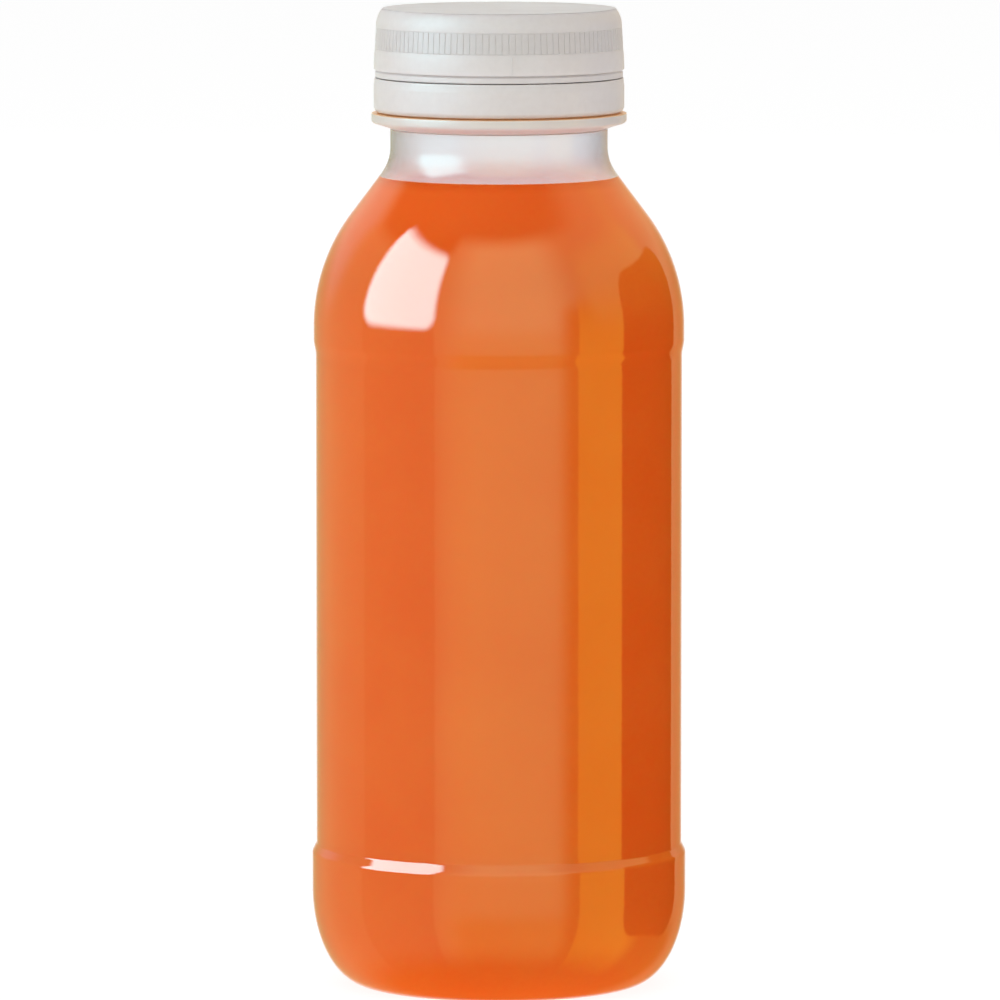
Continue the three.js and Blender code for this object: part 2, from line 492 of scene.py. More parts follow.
class Paint:
    """A material's or a group's node tree, with short ways to add to it."""

    def __init__(self, tree: bpy.types.NodeTree) -> None:
        """Empties the tree."""
        self.tree = tree
        tree.nodes.clear()

    def node(
        self, kind: str, values: dict[str | int, object] | None = None, **settings: object,
    ) -> bpy.types.Node:
        """Adds a node.

        Args:
            kind: The node's type.
            values: What goes into its inputs, by name or number: a socket is linked, a value is set.
            settings: Values of its properties.

        Returns:
            The node.
        """
        made = self.tree.nodes.new(kind)
        for name, value in settings.items():
            setattr(made, name, value)
        for name, value in (values or {}).items():
            if isinstance(value, Socket):
                self.tree.links.new(value, made.inputs[name])
            else:
                made.inputs[name].default_value = value
        return made

    def maths(self, operation: str, *values: object) -> Socket:
        """Adds a sum of sockets and numbers and returns its result."""
        return self.node("ShaderNodeMath", dict(enumerate(values)), operation=operation).outputs[0]

    def between(self, value: Socket, low: float, high: float) -> Socket:
        """Rises smoothly from 0 to 1 as a value goes from low to high."""
        values = {"Value": value, "From Min": low, "From Max": high}
        return self.node("ShaderNodeMapRange", values, interpolation_type="SMOOTHSTEP").outputs[0]

    def mix(self, factor: object, first: object, second: object) -> Socket:
        """Mixes two colours, each a socket or four numbers."""
        values = {0: factor, 6: first, 7: second}
        return self.node("ShaderNodeMix", values, data_type="RGBA").outputs[2]

    def noise(self, place: Socket, scale: object, detail: float = 2.0) -> Socket:
        """Noise from 0 to 1 at a place, with a scale in waves for each metre."""
        values = {"Vector": place, "Scale": scale, "Detail": detail}
        return self.node("ShaderNodeTexNoise", values).outputs[0]

    def place_and_height(self) -> tuple[Socket, Socket]:
        """The sockets of the place on the object and of its height above the foot."""
        place = self.node("ShaderNodeTexCoord").outputs["Object"]
        return place, self.node("ShaderNodeSeparateXYZ", {0: place}).outputs["Z"]


def opaque(colour: Colour) -> tuple[float, float, float, float]:
    """A colour with full alpha."""
    return (*colour, 1.0)


def moulded_skin() -> bpy.types.ShaderNodeTree:
    """The slightly uneven skin of moulded plastic, which the shell and the cap share.

    Returns:
        A group that turns a place into a roughness and a height.
    """
    group = bpy.data.node_groups.new("moulded_skin", "ShaderNodeTree")
    paint = Paint(group)
    sockets = (
        ("Place", "NodeSocketVector"),
        ("Broad Waves", "NodeSocketFloat"),
        ("Fine Grain", "NodeSocketFloat"),
        ("Least Roughness", "NodeSocketFloat"),
        ("Most Roughness", "NodeSocketFloat"),
        ("Grain Share", "NodeSocketFloat"),
    )
    for name, kind in sockets:
        group.interface.new_socket(name, in_out="INPUT", socket_type=kind)
    for name in ("Roughness", "Height"):
        group.interface.new_socket(name, in_out="OUTPUT", socket_type="NodeSocketFloat")

    given = paint.node("NodeGroupInput").outputs
    broad = paint.noise(given["Place"], given["Broad Waves"], detail=1.0)
    fine = paint.noise(given["Place"], given["Fine Grain"], detail=4.0)
    both = paint.node("ShaderNodeMix", {0: given["Grain Share"], 2: broad, 3: fine}, data_type="FLOAT")
    values = {
        "Value": both.outputs[0],
        "From Min": NOISE_SPAN[0],
        "From Max": NOISE_SPAN[1],
        "To Min": given["Least Roughness"],
        "To Max": given["Most Roughness"],
    }
    roughness = paint.node("ShaderNodeMapRange", values)
    paint.node("NodeGroupOutput", {"Roughness": roughness.outputs[0], "Height": both.outputs[0]})
    return group


def mottled_colour() -> bpy.types.ShaderNodeTree:
    """The cloudy variation of colour, which the juice and the cap share.

    Returns:
        A group that turns a place into a colour between two.
    """
    group = bpy.data.node_groups.new("mottled_colour", "ShaderNodeTree")
    paint = Paint(group)
    sockets = (
        ("Place", "NodeSocketVector"),
        ("Clouds", "NodeSocketFloat"),
        ("Specks", "NodeSocketFloat"),
        ("Speck Share", "NodeSocketFloat"),
        ("Deep", "NodeSocketColor"),
        ("Pale", "NodeSocketColor"),
    )
    for name, kind in sockets:
        group.interface.new_socket(name, in_out="INPUT", socket_type=kind)
    group.interface.new_socket("Colour", in_out="OUTPUT", socket_type="NodeSocketColor")

    given = paint.node("NodeGroupInput").outputs
    clouds = paint.noise(given["Place"], given["Clouds"])
    specks = paint.noise(given["Place"], given["Specks"], detail=3.0)
    both = paint.node("ShaderNodeMix", {0: given["Speck Share"], 2: clouds, 3: specks}, data_type="FLOAT")
    share = paint.between(both.outputs[0], *NOISE_SPAN)
    colour = paint.mix(share, given["Deep"], given["Pale"])
    paint.node("NodeGroupOutput", {"Colour": colour})
    return group


@dataclass
class SharedEffects:
    """The node groups that more than one finish places."""

    skin: bpy.types.ShaderNodeTree = field(default_factory=moulded_skin)
    mottle: bpy.types.ShaderNodeTree = field(default_factory=mottled_colour)


@dataclass(frozen=True)
class Skin:
    """How rough and uneven a moulded surface is: waves and grain in counts for each metre."""

    least_roughness: float
    most_roughness: float
    broad_waves: float
    fine_grain: float
    grain_share: float
    relief: float

    def apply(self, paint: Paint, effects: SharedEffects, place: Socket) -> tuple[Socket, Socket]:
        """Places the shared skin.

        Args:
            paint: The material's tree.
            effects: The shared node groups.
            place: The place on the object.

        Returns:
            The sockets with the roughness and the bumped normal.
        """
        skin = paint.node("ShaderNodeGroup", {
            "Place": place,
            "Broad Waves": self.broad_waves,
            "Fine Grain": self.fine_grain,
            "Least Roughness": self.least_roughness,
            "Most Roughness": self.most_roughness,
            "Grain Share": self.grain_share,
        }, node_tree=effects.skin).outputs
        bump = paint.node("ShaderNodeBump", {"Distance": self.relief, "Height": skin["Height"]})
        return skin["Roughness"], bump.outputs[0]


@dataclass(frozen=True)
class Mottle:
    """A cloudy colour between two: clouds and specks in counts for each metre."""

    deep: Colour
    pale: Colour
    clouds: float
    specks: float
    speck_share: float = 0.3

    def apply(self, paint: Paint, effects: SharedEffects, place: Socket) -> Socket:
        """Places the shared mottling.

        Args:
            paint: The material's tree.
            effects: The shared node groups.
            place: The place on the object.

        Returns:
            The socket with the colour.
        """
        return paint.node("ShaderNodeGroup", {
            "Place": place,
            "Clouds": self.clouds,
            "Specks": self.specks,
            "Speck Share": self.speck_share,
            "Deep": opaque(self.deep),
            "Pale": opaque(self.pale),
        }, node_tree=effects.mottle).outputs["Colour"]


def new_material(name: str) -> tuple[Material, Paint]:
    """Makes a material with an empty node tree.

    Args:
        name: Name of the material.

    Returns:
        The material and its tree.
    """
    material = bpy.data.materials.new(name)
    material.use_nodes = True
    return material, Paint(material.node_tree)


@dataclass(frozen=True)
class ClearPolyester:
    """The blown shell's clear plastic: colourless, glossy, a little wavy, and open to the lamps."""

    tint: Colour = (0.995, 0.994, 0.992)
    index: float = 1.8
    skin: Skin = Skin(
        least_roughness=0.012, most_roughness=0.035, broad_waves=55.0,
        fine_grain=900.0, grain_share=0.12, relief=0.03 * MM,
    )
    neck_softness: float = 0.23
    neck_index_drop: float = 0.2
    neck_from: Point = (131.0 * MM, 136.0 * MM)

    def material(self, effects: SharedEffects) -> Material:
        """Builds the clear plastic.

        Args:
            effects: The shared node groups.

        Returns:
            A glass-like material that lets shadow and diffuse rays pass unbent, so that the juice is lit.
        """
        material, paint = new_material("clear_polyester")
        place, height = paint.place_and_height()
        roughness, normal = self.skin.apply(paint, effects, place)
        neck = paint.between(height, *self.neck_from)
        softer = paint.maths("MULTIPLY", neck, self.neck_softness)
        index = paint.maths("SUBTRACT", self.index, paint.maths("MULTIPLY", neck, self.neck_index_drop))
        plastic = paint.node("ShaderNodeBsdfPrincipled", {
            "Base Color": opaque(self.tint),
            "Roughness": paint.maths("ADD", roughness, softer),
            "IOR": index,
            "Transmission Weight": 1.0,
            "Normal": normal,
        })
        path = paint.node("ShaderNodeLightPath").outputs
        clear = paint.node("ShaderNodeBsdfTransparent").outputs[0]
        shader = plastic.outputs[0]
        for kind in ("Is Diffuse Ray", "Is Shadow Ray"):
            shader = paint.node("ShaderNodeMixShader", {0: path[kind], 1: shader, 2: clear}).outputs[0]
        paint.node("ShaderNodeOutputMaterial", {"Surface": shader})
        return material


@dataclass(frozen=True)
class HazyPolyester:
    """The same plastic where it is thick: the support ring and the threaded finish look milky and soft.

    Its painted glow and painted warm colour on top of the ring stand in for the juice's light that gathers
    there.
    Here and in the juice, the colour is bright and the strength low, because the renderer treats faces of a
    strong glow as lamps, which takes it longer.
    """

    tint: Colour = (0.97, 0.93, 0.91)
    painted_juice_light_tint: Colour = (0.85, 0.5, 0.27)
    glow: Colour = (0.5, 0.25, 0.1)
    glow_strength: float = 0.2
    glow_from: Point = (143.57 * MM, 143.67 * MM)
    glow_to: Point = (144.3 * MM, 143.8 * MM)
    index: float = 1.66
    clear_share: float = 0.2
    scatter: float = 0.4
    reach: Colour = (1.2 * MM, 1.0 * MM, 0.9 * MM)
    skin: Skin = Skin(
        least_roughness=0.3, most_roughness=0.4, broad_waves=90.0,
        fine_grain=1500.0, grain_share=0.3, relief=0.01 * MM,
    )

    def material(self, effects: SharedEffects) -> Material:
        """Builds the hazy plastic.

        Args:
            effects: The shared node groups.

        Returns:
            A material that lets about half of the light through, spread out.
        """
        material, paint = new_material("hazy_polyester")
        place, height = paint.place_and_height()
        roughness, normal = self.skin.apply(paint, effects, place)
        # Painted light: on top of the ring the base colour turns warm and the surface glows, standing in for
        # the juice's light that gathers there
        above = paint.between(height, *self.glow_from)
        below = paint.between(height, *self.glow_to)
        painted_juice_light = paint.maths("MULTIPLY", above, below)
        plastic = paint.node("ShaderNodeBsdfPrincipled", {
            "Base Color": paint.mix(painted_juice_light, opaque(self.tint), opaque(self.painted_juice_light_tint)),
            "Emission Color": paint.mix(painted_juice_light, opaque(NO_LIGHT), opaque(self.glow)),
            "Emission Strength": self.glow_strength,
            "Roughness": roughness,
            "IOR": self.index,
            "Transmission Weight": self.clear_share,
            "Subsurface Weight": self.scatter,
            "Subsurface Radius": self.reach,
            "Subsurface Scale": 1.0,
            "Normal": normal,
        })
        paint.node("ShaderNodeOutputMaterial", {"Surface": plastic.outputs[0]})
        return material


@dataclass(frozen=True)
class CloudyJuice:
    """Cloudy orange juice: the side that wets the wall is matt, and the free top is glossy.

    Its painted glow, towards the narrow top of the bottle, stands in for the light that comes through from
    behind.
    """

    name: str = "cloudy_juice"
    mottle: Mottle = Mottle(
        deep=(0.94, 0.13, 0.012), pale=(0.965, 0.155, 0.0165), clouds=45.0, specks=1400.0,
    )
    roughness: float = 0.9
    shine: float = 0.0
    scatter: float = 0.55
    reach: Colour = (5.0 * MM, 1.4 * MM, 0.4 * MM)
    ripple: float = 0.0
    ripples: float = 350.0
    ripple_height: float = 0.1 * MM
    glow: Colour = (0.65, 0.06, 0.005)
    glow_strength: float = 0.2
    glow_from: Point = (117.0 * MM, 130.0 * MM)

    def material(self, effects: SharedEffects) -> Material:
        """Builds the juice.

        Args:
            effects: The shared node groups.

        Returns:
            An opaque material that scatters light below its surface.
        """
        material, paint = new_material(self.name)
        place, height = paint.place_and_height()
        # Painted light: the juice glows more towards the narrow top, standing in for the light that comes
        # through from behind
        painted_glow_share = paint.between(height, *self.glow_from)
        juice = paint.node("ShaderNodeBsdfPrincipled", {
            "Base Color": self.mottle.apply(paint, effects, place),
            "Roughness": self.roughness,
            "Specular IOR Level": self.shine,
            "Subsurface Weight": self.scatter,
            "Subsurface Radius": self.reach,
            "Subsurface Scale": 1.0,
            "Emission Color": paint.mix(painted_glow_share, opaque(NO_LIGHT), opaque(self.glow)),
            "Emission Strength": self.glow_strength,
        })
        if self.ripple:
            bump = paint.node("ShaderNodeBump", {
                "Distance": self.ripple_height,
                "Strength": self.ripple,
                "Height": paint.noise(place, self.ripples),
            })
            paint.tree.links.new(bump.outputs[0], juice.inputs["Normal"])
        paint.node("ShaderNodeOutputMaterial", {"Surface": juice.outputs[0]})
        return material


@dataclass(frozen=True)
class SatinPolyethylene:
    """The cap's natural white plastic: satin, slightly translucent, with a moulding's faint clouds."""

    mottle: Mottle = Mottle(
        deep=(0.815, 0.775, 0.78), pale=(0.875, 0.84, 0.845), clouds=60.0, specks=900.0,
    )
    skin: Skin = Skin(
        least_roughness=0.4, most_roughness=0.5, broad_waves=120.0,
        fine_grain=2600.0, grain_share=0.6, relief=0.012 * MM,
    )
    index: float = 1.5
    shine: float = 0.58
    top_roughness: float = 0.45
    top_from: Point = (160.3 * MM, 160.7 * MM)
    scatter: float = 0.25
    reach: Colour = (2.2 * MM, 1.9 * MM, 1.6 * MM)

    def material(self, effects: SharedEffects) -> Material:
        """Builds the cap's plastic.

        Args:
            effects: The shared node groups.

        Returns:
            A satin material that scatters a little light below its surface.
        """
        material, paint = new_material("satin_polyethylene")
        place, height = paint.place_and_height()
        roughness, normal = self.skin.apply(paint, effects, place)
        rougher = paint.maths("MULTIPLY", paint.between(height, *self.top_from), self.top_roughness)
        plastic = paint.node("ShaderNodeBsdfPrincipled", {
            "Base Color": self.mottle.apply(paint, effects, place),
            "Roughness": paint.maths("ADD", roughness, rougher),
            "IOR": self.index,
            "Specular IOR Level": self.shine,
            "Subsurface Weight": self.scatter,
            "Subsurface Radius": self.reach,
            "Subsurface Scale": 1.0,
            "Normal": normal,
        })
        paint.node("ShaderNodeOutputMaterial", {"Surface": plastic.outputs[0]})
        return material


@dataclass(frozen=True)
class PaleFloor:
    """The studio's plain floor, bright enough to run into the white behind it."""

    colour: Colour = (0.24, 0.24, 0.24)
    lift: float = 0.91

    def material(self) -> Material:
        """Builds the floor's matt white.

        Returns:
            A matt material with a little light of its own.
        """
        material, paint = new_material("pale_floor")
        floor = paint.node("ShaderNodeBsdfPrincipled", {
            "Base Color": opaque(self.colour),
            "Roughness": 1.0,
            "Specular IOR Level": 0.0,
            "Emission Color": opaque((1.0, 1.0, 1.0)),
            "Emission Strength": self.lift,
        })
        paint.node("ShaderNodeOutputMaterial", {"Surface": floor.outputs[0]})
        return material


@dataclass
class Finishes:
    """The materials of the whole object, built once."""

    effects: SharedEffects = field(default_factory=SharedEffects)
    clear: Material = field(init=False)
    hazy: Material = field(init=False)
    juice: Material = field(init=False)
    juice_top: Material = field(init=False)
    cap: Material = field(init=False)

    def __post_init__(self) -> None:
        """Builds each finish."""
        self.clear = ClearPolyester().material(self.effects)
        self.hazy = HazyPolyester().material(self.effects)
        self.juice = CloudyJuice().material(self.effects)
        free_top = CloudyJuice(name="juice_top", roughness=0.12, shine=0.4, ripple=0.3)
        self.juice_top = free_top.material(self.effects)
        self.cap = SatinPolyethylene().material(self.effects)


def install(piece: Piece, slot: Slot, *nodes: Node) -> None:
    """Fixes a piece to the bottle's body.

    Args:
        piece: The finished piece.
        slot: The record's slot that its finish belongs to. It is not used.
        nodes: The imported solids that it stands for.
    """
    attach(piece, BODY)
    if nodes:
        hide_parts(*[n.value for n in nodes])
    log.info("%s: %d faces", piece.name, len(piece.data.polygons))


# The bottle's own form


@dataclass(frozen=True)
class BodyForm:
    """The blown body's sizes, from the foot to the neck, measured on the outer side of its wall."""

    wall: float = 0.5 * MM
    push_up: float = 4.5 * MM
    dome_rows: int = 12
    foot_inner: float = 19.9 * MM
    foot_outer: float = 21.86 * MM
    foot_rounding: float = 1.2 * MM
    heel_top: float = 15.9 * MM
    bumper_radius: float = 30.76 * MM
    lower_step: Point = (22.01 * MM, 23.39 * MM)
    step_roundings: Point = (1.6 * MM, 0.6 * MM)
    panel_radius: float = 30.07 * MM
    upper_step: Point = (103.9 * MM, 106.6 * MM)
    shoulder_radius: float = 30.43 * MM
    shoulder_equator: float = 108.8 * MM
    shoulder_slope: float = 37.0
    neck_radius: float = 17.8 * MM
    neck_fillet: float = 7.0 * MM

    def side(self, inset: float) -> Outline:
        """The body's outline, or one parallel to it inside the wall.

        Args:
            inset: Distance inwards from the outer side.

        Returns:
            Points from the middle of the base to the narrow part of the neck.
        """
        shares = [i / self.dome_rows for i in range(self.dome_rows)]
        dome = [(self.foot_inner * s, self.push_up * (1 - s * s) + inset) for s in shares]
        foot = rounded([
            (*dome[-1], 0),
            (self.foot_inner, inset, self.foot_rounding),
            (self.foot_outer, inset, 0),
        ])
        heel_radii = (self.bumper_radius - self.foot_outer - inset, self.heel_top - inset)
        heel = arc((self.foot_outer, self.heel_top), heel_radii, -90, 0, steps=24)
        lower = rounded([
            (self.bumper_radius - inset, self.heel_top, 0),
            (self.bumper_radius - inset, self.lower_step[0], self.step_roundings[0]),
            (self.panel_radius - inset, self.lower_step[1], self.step_roundings[1]),
            (self.panel_radius - inset, self.upper_step[0], 0),
        ], steps=8)
        ball = self.shoulder_radius - inset
        panel_top = (self.panel_radius - inset, self.upper_step[0])
        upper = soft_step(panel_top, (ball, self.upper_step[1]), steps=12)
        shoulder = arc((0, self.shoulder_equator), (ball, ball), 0, self.shoulder_slope, steps=24)

        slope = math.radians(self.shoulder_slope)
        fillet_at = self.neck_radius + self.neck_fillet
        reach = self.shoulder_radius + self.neck_fillet
        rise = (reach - fillet_at * math.cos(slope)) / math.sin(slope)
        bend = self.neck_fillet + inset
        fillet_centre = (fillet_at, self.shoulder_equator + rise)
        fillet = arc(fillet_centre, (bend, bend), 180 + self.shoulder_slope, 180, steps=14)
        return [*dome[:-1], *foot, *heel[1:-1], *lower[:-1], *upper, *shoulder, *fillet]


@dataclass(frozen=True)
class NeckFinish:
    """The neck above the body: the support ring, the lock bead, the threaded wall and the lip."""

    root: Point = (17.8 * MM, 140.9 * MM)
    groove: Point = (141.06 * MM, 141.22 * MM)
    groove_radius: float = 17.42 * MM
    groove_slope: float = 0.01 * MM
    ring_foot: Point = (17.87 * MM, 141.23 * MM)
    ring_flare: Point = (17.93 * MM, 141.26 * MM)
    ring_underside: Point = (20.7 * MM, 142.15 * MM)
    ring_radius: float = 20.9 * MM
    ring_bottom: float = 142.45 * MM
    ring_top: float = 143.7 * MM
    wall_radius: float = 17.4 * MM
    bead_radius: float = 18.7 * MM
    bead_foot: float = 146.1 * MM
    bead_bottom: float = 146.5 * MM
    bead_top: float = 147.0 * MM
    bead_shoulder: float = 148.3 * MM
    bore_radius: float = 15.8 * MM
    bore_bottom: float = 144.6 * MM
    lip_top: float = 158.95 * MM
    inner_radius: float = 17.3 * MM
    inner_top: float = 140.9 * MM
    haze_bottom: float = 141.05 * MM

    def side(self) -> Outline:
        """The finish's outline.

        Returns:
            Points from the neck's root over the ring, the bead and the lip, and down the bore.
        """
        outside = rounded([
            (*self.root, 0),
            (self.root[0], self.groove[0] - 2 * self.groove_slope, 0),
            (self.root[0], self.groove[0], 0),
            (self.groove_radius, self.groove[0] + self.groove_slope, 0),
            (self.groove_radius, self.groove[1], 0),
            (*self.ring_foot, 0),
            (*self.ring_flare, 0),
            (*self.ring_underside, 0.5 * MM),
            (self.ring_radius, self.ring_bottom, 0.3 * MM),
            (self.ring_radius, self.ring_top, 0.15 * MM),
            (self.wall_radius, self.ring_top, 0.3 * MM),
            (self.wall_radius, self.bead_foot, 0.3 * MM),
            (self.bead_radius, self.bead_bottom, 0.15 * MM),
            (self.bead_radius, self.bead_top, 0.2 * MM),
            (self.wall_radius, self.bead_shoulder, 0.4 * MM),
            (self.wall_radius, self.lip_top, 0.35 * MM),
            (self.bore_radius, self.lip_top, 0.35 * MM),
            (self.bore_radius, self.bore_bottom, 0),
        ])
        bore_end = (self.bore_radius, self.bore_bottom)
        widening = soft_step(bore_end, (self.inner_radius, self.inner_top), steps=16)
        return [*outside[:-1], *widening]


@dataclass(frozen=True)
class ThreadForm:
    """A three-start screw thread: one lug for each start, wound round the axis as it climbs."""

    root: float
    crest: float
    start: float
    starts: int = 3
    first_angle: float = 22.0
    sweep: float = 130.0
    lead: float = 9.5 * MM
    root_half: float = 0.72 * MM
    crest_half: float = 0.34 * MM
    steps: int = 40
    fade_share: float = 0.12
    end_lift: float = 0.1

    def lug(self, name: str) -> Piece:
        """Builds the lug of the first start.

        Args:
            name: Name of the piece.

        Returns:
            A closed mesh whose crest sinks to the root at both ends.
        """
        points = []
        for i in range(self.steps + 1):
            along = i / self.steps
            fade = min(1.0, min(along, 1 - along) / self.fade_share)
            lift = self.end_lift + (1 - self.end_lift) * math.sin(fade * math.pi / 2)
            angle = math.radians(self.first_angle + self.sweep * along)
            middle = self.start + self.lead * self.sweep * along / 360
            crest = self.root + (self.crest - self.root) * lift
            section = (
                (self.root, -self.root_half),
                (crest, -self.crest_half),
                (crest, self.crest_half),
                (self.root, self.root_half),
            )
            for radius, side in section:
                points.append((radius * math.cos(angle), radius * math.sin(angle), middle + side))
        return mesh_object(name, points, [], tube_faces(self.steps + 1, len(section)))


@dataclass
class BottleShell:
    """The clear shell: body, neck, support ring and threaded finish, as one turned wall."""

    form: BodyForm
    neck: NeckFinish = NeckFinish()
    thread: ThreadForm = ThreadForm(root=17.2 * MM, crest=18.6 * MM, start=152.3 * MM)
    sides: int = 192
    longest_row: float = 2.0 * MM

    def build(self, workshop: Workshop, finishes: Finishes) -> None:
        """Makes the shell and its thread.

        Args:
            workshop: The trees that turn and repeat.
            finishes: The object's materials.
        """
        inside = self.form.side(self.form.wall)
        outline = [*self.form.side(0.0), *self.neck.side(), *reversed(inside)]
        shell = workshop.turn("bottle_shell", outline, self.longest_row, self.sides, finishes.clear)
        shell.data.materials.append(finishes.hazy)
        for face in shell.data.polygons:
            if face.center.z > self.neck.haze_bottom:
                face.material_index = 1
        install(shell, Slot.CLEAR_PLASTIC, Node.BOTTLE)

        lug = self.thread.lug("neck_thread")
        thread = workshop.repeat(lug, self.thread.starts, 0.0, finishes.hazy)
        install(thread, Slot.CLEAR_PLASTIC)


@dataclass
class JuiceFill:
    """The juice, which reaches a little into the wall so that no gap shows, and climbs it at its rim.

    A face belongs to the free top where its normal rises by more than top_slant and it lies no more than
    top_sag below the level.
    """

    form: BodyForm
    level: float = 132.8 * MM
    into_wall: float = 0.2 * MM
    rim_height: float = 0.4 * MM
    rim_width: float = 1.6 * MM
    rim_power: float = 2.5
    rim_rows: int = 8
    top_slant: float = 0.3
    top_sag: float = 0.1 * MM
    sides: int = 192
    longest_row: float = 2.0 * MM

    def top(self, edge_radius: float) -> Outline:
        """The free surface's outline.

        Args:
            edge_radius: Where the surface meets the wall.

        Returns:
            Points from the wall to the axis, falling steeply and then gently as a wetting liquid does.
        """
        points = []
        for i in range(1, self.rim_rows + 1):
            share = i / self.rim_rows
            height = self.rim_height * (1 - share) ** self.rim_power
            points.append((edge_radius - self.rim_width * share, self.level + height))
        points.append((0.0, self.level))
        return points

    def build(self, workshop: Workshop, finishes: Finishes) -> None:
        """Makes the juice.

        Args:
            workshop: The trees that turn and repeat.
            finishes: The object's materials.
        """
        side = cut_at(self.form.side(self.form.wall - self.into_wall), self.level + self.rim_height)
        outline = [*side, *self.top(side[-1][0])]
        juice = workshop.turn("juice_fill", outline, self.longest_row, self.sides, finishes.juice)
        juice.data.materials.append(finishes.juice_top)
        for face in juice.data.polygons:
            looks_up = face.normal.z > self.top_slant
            if looks_up and face.center.z > self.level - self.top_sag:
                face.material_index = 1
        install(juice, Slot.ORANGE_JUICE, Node.JUICE)


